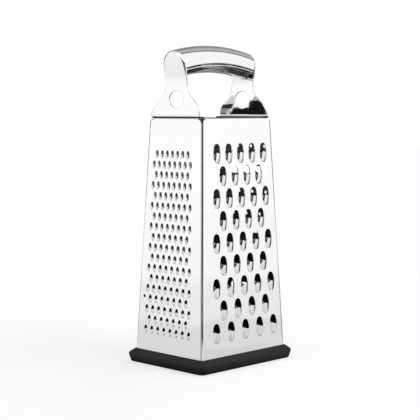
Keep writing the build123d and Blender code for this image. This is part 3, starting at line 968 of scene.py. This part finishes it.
def steel(name, colour, roughness, line_depth, painted_shade=None):
    """Polished stainless steel with faint rolling lines up the sheet and cloudy wiping marks.

    The optional last argument is painted shade: a darker colour, the height in millimetres below which it
    holds, and where it ends.
    """
    material, tree, output = new_material(name)
    place = add_node(tree, "TexCoord").outputs["Object"]
    stretched = add_node(tree, "Mapping", Vector=place,
                         Scale=(per(LINE_APART), per(LINE_APART), per(LINE_LENGTH)))
    lines = add_node(tree, "TexNoise", Vector=stretched, Scale=1.0, Detail=2.0)
    clouds = add_node(tree, "TexNoise", Vector=place, Scale=per(WIPE_CLOUD), Detail=3.0)
    shine = add_node(tree, "MapRange", Value=clouds.outputs["Fac"], From_Min=0.3, From_Max=0.7,
                     To_Min=roughness * 0.8, To_Max=roughness * 1.25)
    bump = add_node(tree, "Bump", Height=lines.outputs["Fac"], Strength=line_depth, Distance=0.02 * MM)
    shader = add_node(tree, "BsdfPrincipled", Base_Color=to_linear(colour), Metallic=1.0, Roughness=shine,
                      Normal=bump)
    # Painted shade: below a given height the colour turns darker.
    if painted_shade:
        height = add_node(tree, "SeparateXYZ", Vector=place).outputs[2]
        shade_colour, low, high = painted_shade
        share = add_node(tree, "MapRange", Value=height, From_Min=low * MM, From_Max=high * MM)
        shaded_colour = add_node(tree, "Mix", COLOURS, i0=share, i6=to_linear(shade_colour), i7=to_linear(colour))
        tree.links.new(shaded_colour.outputs[2], shader.inputs["Base Color"])
    tree.links.new(shader.outputs[0], output.inputs[0])
    return material


# Painted shadow on the brackets: a dark strip just over the rim, where the gap under the foot lies in shade.
GAP_SHADOW_PAINT = ("#1A1A1A", RIM + 1.0, RIM + 1.6)
# Painted shade inside the body: darker towards the foot, where less light from the open top reaches.
INTERIOR_SHADE_PAINT = ("#3C3C3B", 60.0, 150.0)
sheet_steel = steel("polished_stainless_sheet", "#FDFDFC", roughness=0.07, line_depth=0.2)
plate_steel = steel("polished_stainless_plate_painted_shadow", "#FCFCFB", roughness=0.04, line_depth=0.03, painted_shade=GAP_SHADOW_PAINT)
grip_steel = steel("polished_stainless_tube", "#F6F6F5", roughness=0.06, line_depth=0.12)
belly_steel = steel("satin_stainless_tube", "#EEEEED", roughness=0.14, line_depth=0.03)
mill_steel = steel("mill_finish_stainless_painted_shade", "#CACAC8", roughness=0.3, line_depth=0.4, painted_shade=INTERIOR_SHADE_PAINT)
print("steels", [m.name for m in bpy.data.materials if "stainless" in m.name])

# %% [markdown]
# The ring is black nitrile rubber, moulded in a tool with a fine spark-eroded grain: dull, with a
# broad soft sheen where the ridge turns to the light. The grain is drawn coarser than real.

# %% Rubber
MOULD_GRAIN, DUST_CLOUD = 0.625, 16.667
rubber, tree, output = new_material("moulded_black_rubber")
place = add_node(tree, "TexCoord").outputs["Object"]
grain = add_node(tree, "TexNoise", Vector=place, Scale=per(MOULD_GRAIN), Detail=2.0)
dust = add_node(tree, "TexNoise", Vector=place, Scale=per(DUST_CLOUD), Detail=4.0)
tone = add_node(tree, "Mix", COLOURS, i0=dust.outputs["Fac"], i6=to_linear("#0C0C0D"),
                i7=to_linear("#131314"))
sheen = add_node(tree, "MapRange", Value=dust.outputs["Fac"], To_Min=0.42, To_Max=0.58)
bump = add_node(tree, "Bump", Height=grain.outputs["Fac"], Strength=0.5, Distance=0.04 * MM)
shader = add_node(tree, "BsdfPrincipled", Base_Color=tone.outputs[2], Roughness=sheen, IOR=1.41, Normal=bump)
tree.links.new(shader.outputs[0], output.inputs[0])
print(rubber.name, len(tree.nodes), "nodes")

# %% [markdown]
# Each new piece takes its finishes, the outside's first and then the wall's, and stands for the
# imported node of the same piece. They all belong to one body, because nothing on a grater moves.

# %% Give each piece its finish and the node it stands for
for piece, node, slot, *materials in (
    (coarse_side, "coarse_panel", "steel", sheet_steel, mill_steel),
    (fine_side, "fine_panel", "steel", sheet_steel, mill_steel),
    (zester_side, "zester_panel", "steel", sheet_steel, mill_steel),
    (slicer_side, "slicer_panel", "steel", sheet_steel, mill_steel),
    (left_plate, "left_bracket", "bracket_steel", plate_steel),
    (right_plate, "right_bracket", "bracket_steel", plate_steel),
    (grip_crown, "grip_top_shell", "grip_steel", grip_steel),
    (grip_belly, "grip_underside", "grip_steel", belly_steel),
    (rubber_ring, "foot_ring", "rubber", rubber),
):
    stands_for(piece, node, slot, *materials)
    print(piece.name, "stands for", node)

# %% [markdown]
# Polished steel shows its surroundings, so they matter more here than the lamps. Each is a soft
# patch of one tone round one direction, on the tent or on the table. Only mirrored rays see the
# patches. The camera and all other rays get looks of their own, so a white ground and a steel with
# contrast go together.

# %% A soft patch, and one look for each kind of ray


def level(degrees):
    """A level direction; 0 is +X and 90 is +Y."""
    return math.cos(math.radians(degrees)), math.sin(math.radians(degrees)), 0.0


def patch(tree, under, tone, where, toward, edges, height=None, band=None):
    """Lay a tone over a colour round a direction, between two edges in degrees away from it.

    With a height the direction is taken level, and the patch comes in over a band of that height.
    """
    keep = (1.0, 1.0, 1.0 if height is None else 0.0)
    kept = add_node(tree, "VectorMath", {"operation": "MULTIPLY"}, i0=where, i1=keep)
    unit = add_node(tree, "VectorMath", {"operation": "NORMALIZE"}, i0=kept)
    facing = add_node(tree, "VectorMath", {"operation": "DOT_PRODUCT"}, i0=unit,
                      i1=Vector(toward).normalized())
    outer, inner = (math.cos(math.radians(edge)) for edge in edges)
    share = add_node(tree, "MapRange", SMOOTH, Value=facing.outputs["Value"], From_Min=outer, From_Max=inner)
    if height is not None:
        fade = add_node(tree, "MapRange", SMOOTH, Value=height, From_Min=band[0], From_Max=band[1])
        share = add_node(tree, "Math", {"operation": "MULTIPLY"}, i0=share, i1=fade)
    return add_node(tree, "Mix", COLOURS, i0=share, i6=under, i7=to_linear(tone)).outputs[2]


def by_ray(tree, seen, mirrored, plain):
    """One look for the camera, one for mirrored rays, and a plain one for all the rest."""
    rays = add_node(tree, "LightPath")
    mix = add_node(tree, "MixShader", i0=rays.outputs["Is Glossy Ray"], i1=plain, i2=mirrored)
    return add_node(tree, "MixShader", i0=rays.outputs["Is Camera Ray"], i1=mix, i2=seen)


# %% [markdown]
# The studio is a white tent. A grey flap with a dark border hangs high at the back, and the round
# grip shows it as its bands. The dark room is open low down behind the camera and dim low down at
# the back, which gives every raised tooth a dark flank. The camera sees plain white.

# %% World
world = bpy.data.worlds.new("white_tent")
bpy.context.scene.world = world
world.use_nodes = True
tree = world.node_tree
tree.nodes.clear()
where = add_node(tree, "TexCoord").outputs["Generated"]
up = add_node(tree, "SeparateXYZ", Vector=where).outputs[2]
FLAP = (0.6, 0.7, 0.4)
tent = WHITE
for tone, toward, edges, band in (
    ("#EBEBEB", level(135.0), (38.0, 22.0), (0.02, 0.34)),
    ("#585858", FLAP, (56.3, 53.8), None),
    ("#B8B8B8", FLAP, (53.1, 45.6), None),
    ("#8C8C8C", FLAP, (34.9, 14.1), None),
    ("#1C1C1C", level(43.0), (84.0, 80.0), (0.13, 0.08)),
    ("#141414", level(-141.0), (46.0, 41.0), (0.26, 0.12)),
):
    tent = patch(tree, tent, tone, where, toward, edges, up if band else None, band)
seen = add_node(tree, "Background", Color=WHITE, Strength=1.0)
mirrored = add_node(tree, "Background", Color=tent, Strength=1.0)
even = add_node(tree, "Background", Color=WHITE, Strength=0.55)
add_node(tree, "OutputWorld", Surface=by_ray(tree, seen, mirrored, even))
print(world.name, len(tree.nodes), "nodes")

# %% [markdown]
# The table is white laminate. The camera sees it as plain white ground with the grater's soft
# shadow. In the steel it is grey close to the grater and white further off, with ragged edges
# between the tones from the clouds of a noise. It is dark in front, where the table ends and the
# room begins, and runs from dark to light at the back. Under the grater no light reaches it.

# %% Table
FOOTPRINT = (0.053, 0.043, 1.0)
TABLE_CLOUD, RAGGED, MIRROR_DIM = 142.86, 0.36, 0.45
bm = bmesh.new()
bmesh.ops.create_circle(bm, cap_ends=True, segments=64, radius=6.0)
table = placed(bm, "table")
table_white, tree, output = new_material("white_table_laminate")
where = add_node(tree, "TexCoord").outputs["Object"]
away = add_node(tree, "VectorMath", {"operation": "LENGTH"}, i0=where).outputs["Value"]
cloud = add_node(tree, "TexNoise", Vector=where, Scale=per(TABLE_CLOUD), Detail=3.0).outputs["Fac"]
ragged = add_node(tree, "Math", {"operation": "MULTIPLY_ADD"}, i0=cloud, i1=RAGGED, i2=away)
tone = to_linear("#B0B0B0")
for near, far, colour in ((0.22, 0.36, "#E2E2E2"), (0.55, 0.6, "#F1F1F1"), (0.95, 1.4, "#FFFFFF")):
    edge = add_node(tree, "MapRange", SMOOTH, Value=ragged, From_Min=near, From_Max=far)
    tone = add_node(tree, "Mix", COLOURS, i0=edge, i6=tone, i7=to_linear(colour)).outputs[2]
BACK, FRONT = (level(40.0), (81.0, 78.0)), (level(-141.0), (46.0, 41.0))
CAMERA_GAP = (level(-135.0), (9.0, 5.0))
for colour, (toward, edges), band in (
    ("#3A3A3A", BACK, (0.14, 0.22)),
    ("#8A8A8A", BACK, (0.4, 0.6)),
    ("#C8C8C8", BACK, (0.8, 1.3)),
    ("#1C1C1C", FRONT, (0.34, 0.48)),
    ("#4C4C4C", FRONT, (0.72, 0.95)),
    ("#A4A4A4", CAMERA_GAP, (0.6, 0.9)),
):
    tone = patch(tree, tone, colour, where, toward, edges, away, band)
scaled = add_node(tree, "VectorMath", {"operation": "DIVIDE"}, i0=where, i1=FOOTPRINT)
size = add_node(tree, "VectorMath", {"operation": "ABSOLUTE"}, i0=scaled)
sides = add_node(tree, "SeparateXYZ", Vector=size)
widest = add_node(tree, "Math", {"operation": "MAXIMUM"}, i0=sides.outputs[0], i1=sides.outputs[1])
lit = add_node(tree, "MapRange", SMOOTH, Value=widest, From_Min=1.0, From_Max=1.2)
tone = add_node(tree, "Mix", COLOURS, i0=lit, i6=to_linear("#303030"), i7=tone).outputs[2]
dimmed = add_node(tree, "Mix", COLOURS, i0=MIRROR_DIM, i6=to_linear("#000000"), i7=tone).outputs[2]
mirror_matt = add_node(tree, "BsdfDiffuse", Color=dimmed)
mirror_glow = add_node(tree, "Emission", Color=tone, Strength=0.58)
mirrored = add_node(tree, "AddShader", i0=mirror_matt, i1=mirror_glow)
plain = add_node(tree, "BsdfDiffuse", Color=to_linear("#E6E6E6"))
seen_matt = add_node(tree, "BsdfDiffuse", Color=to_linear("#B3B3B3"))
seen_glow = add_node(tree, "Emission", Color=WHITE, Strength=0.61)
seen = add_node(tree, "AddShader", i0=seen_matt, i1=seen_glow)
tree.links.new(by_ray(tree, seen, mirrored, plain).outputs[0], output.inputs[0])
table.data.materials.append(table_white)
print(table_white.name, len(tree.nodes), "nodes")

# %% [markdown]
# One small card stands behind the grater on the left. Only the inner face of the right bracket
# mirrors it: without something dark there, a flat polished plate in a white tent loses its form.
# It is a grid of small squares with a grey at each corner, so the steps between tones are soft, and
# its patches are polygons in millimetres along the card and above the table. Neither the camera nor
# the light on other things knows of it.

# %% Card
CARD_AWAY = 120.0
CARD_SIZE = (52.0, 32.0)
CARD_STEPS = (104, 64)
CARD_LOW = (-1.0, 206.0)
CARD_ALONG = Vector((0.703, 0.711, 0.0))


def inside(point, corners):
    """Whether a point lies in a polygon that goes round anticlockwise."""
    x, y = point
    turns = zip(corners, corners[1:] + corners[:1])
    return all((bx - ax) * (y - ay) - (by - ay) * (x - ax) >= 0 for (ax, ay), (bx, by) in turns)


CARD_PATCHES = (
    ([(31.7, 224.0), (41.8, 224.0), (34.5, 232.6), (31.7, 232.6)], "#CCCCCC"),
    ([(-1.0, 231.5), (11.5, 231.5), (9.0, 236.5), (-1.0, 236.5)], "#DCDCDC"),
    ([(-1.0, 227.5), (14.5, 227.5), (11.5, 232.0), (-1.0, 232.0)], "#A8A8A8"),
    ([(40.0, 206.0), (51.0, 206.0), (51.0, 215.4), (38.5, 215.4)], "#383838"),
    ([(36.0, 215.4), (51.0, 215.4), (51.0, 219.8), (35.0, 219.8)], "#8A8A8A"),
    ([(34.7, 219.7), (51.0, 219.7), (51.0, 223.0), (32.0, 224.5)], "#262626"),
    ([(17.0, 206.0), (43.0, 206.0), (31.7, 220.9), (17.0, 220.9)], "#121212"),
    ([(-1.0, 206.0), (17.5, 206.0), (17.5, 226.0), (14.5, 227.9), (-1.0, 227.9)], "#121212"),
    ([(39.4, 214.8), (41.6, 215.2), (32.0, 222.0), (30.8, 220.8)], "#C4C4C4"),
)
bm = bmesh.new()
bmesh.ops.create_grid(bm, x_segments=CARD_STEPS[0], y_segments=CARD_STEPS[1], size=0.5)
grey = bm.verts.layers.float_color.new("grey")
start = Vector((-CARD_ALONG.y, CARD_ALONG.x, 0)) * CARD_AWAY
for vertex in bm.verts:
    u = CARD_LOW[0] + (vertex.co.x + 0.5) * CARD_SIZE[0]
    z = CARD_LOW[1] + (vertex.co.y + 0.5) * CARD_SIZE[1]
    tone = "#FFFFFF"
    for corners, colour in CARD_PATCHES:
        if inside((u, z), corners):
            tone = colour
    vertex[grey] = to_linear(tone)
    vertex.co = (start + CARD_ALONG * u + Vector((0, 0, z))) * MM
card = placed(bm, "side_card")
card_print, tree, output = new_material("printed_grey_card")
greys = add_node(tree, "Attribute", {"attribute_name": "grey"})
shown = add_node(tree, "Emission", Color=greys.outputs["Color"], Strength=1.0)
tree.links.new(shown.outputs[0], output.inputs[0])
card.data.materials.append(card_print)
card.visible_camera = False
card.visible_diffuse = False
card.visible_shadow = False
print("card squares", len(card.data.polygons))

# %% [markdown]
# Two broad soft lamps give the object form without glare. They are hidden from reflections, because
# the white tent already fills those.

# %% Lamps
for name, place, strength in (
    ("key_lamp", Vector((0.5, -1.1, 1.0)), 0.9),
    ("fill_lamp", Vector((1.2, 0.1, 1.1)), 0.5),
):
    lamp = bpy.data.lights.new(name, "SUN")
    lamp.angle = math.radians(50)
    lamp.energy = strength
    holder = bpy.data.objects.new(name, lamp)
    holder.rotation_euler = (-place).to_track_quat("-Z", "Y").to_euler()
    holder.visible_glossy = False
    bpy.context.scene.collection.objects.link(holder)
    print(name, "strength", strength)

# %% [markdown]
# The camera stands where the photographer's did: about a metre away, level with the rim, so the
# grip is seen from just below and the two near sides in equal perspective.

# %% Camera
lens = bpy.data.cameras.new("camera")
lens.lens = 104.47
lens.sensor_width = 36.0
camera = bpy.data.objects.new("camera", lens)
camera.location = (-0.7536, -0.7441, 0.2195)
aim = Vector((-0.0003, 0.0003, 0.1314)) - camera.location
camera.rotation_euler = aim.to_track_quat("-Z", "Y").to_euler()
bpy.context.scene.collection.objects.link(camera)
bpy.context.scene.camera = camera
bpy.context.scene.view_settings.view_transform = "Standard"
print("camera", round(camera.location.length, 3), "m from the middle of the base")
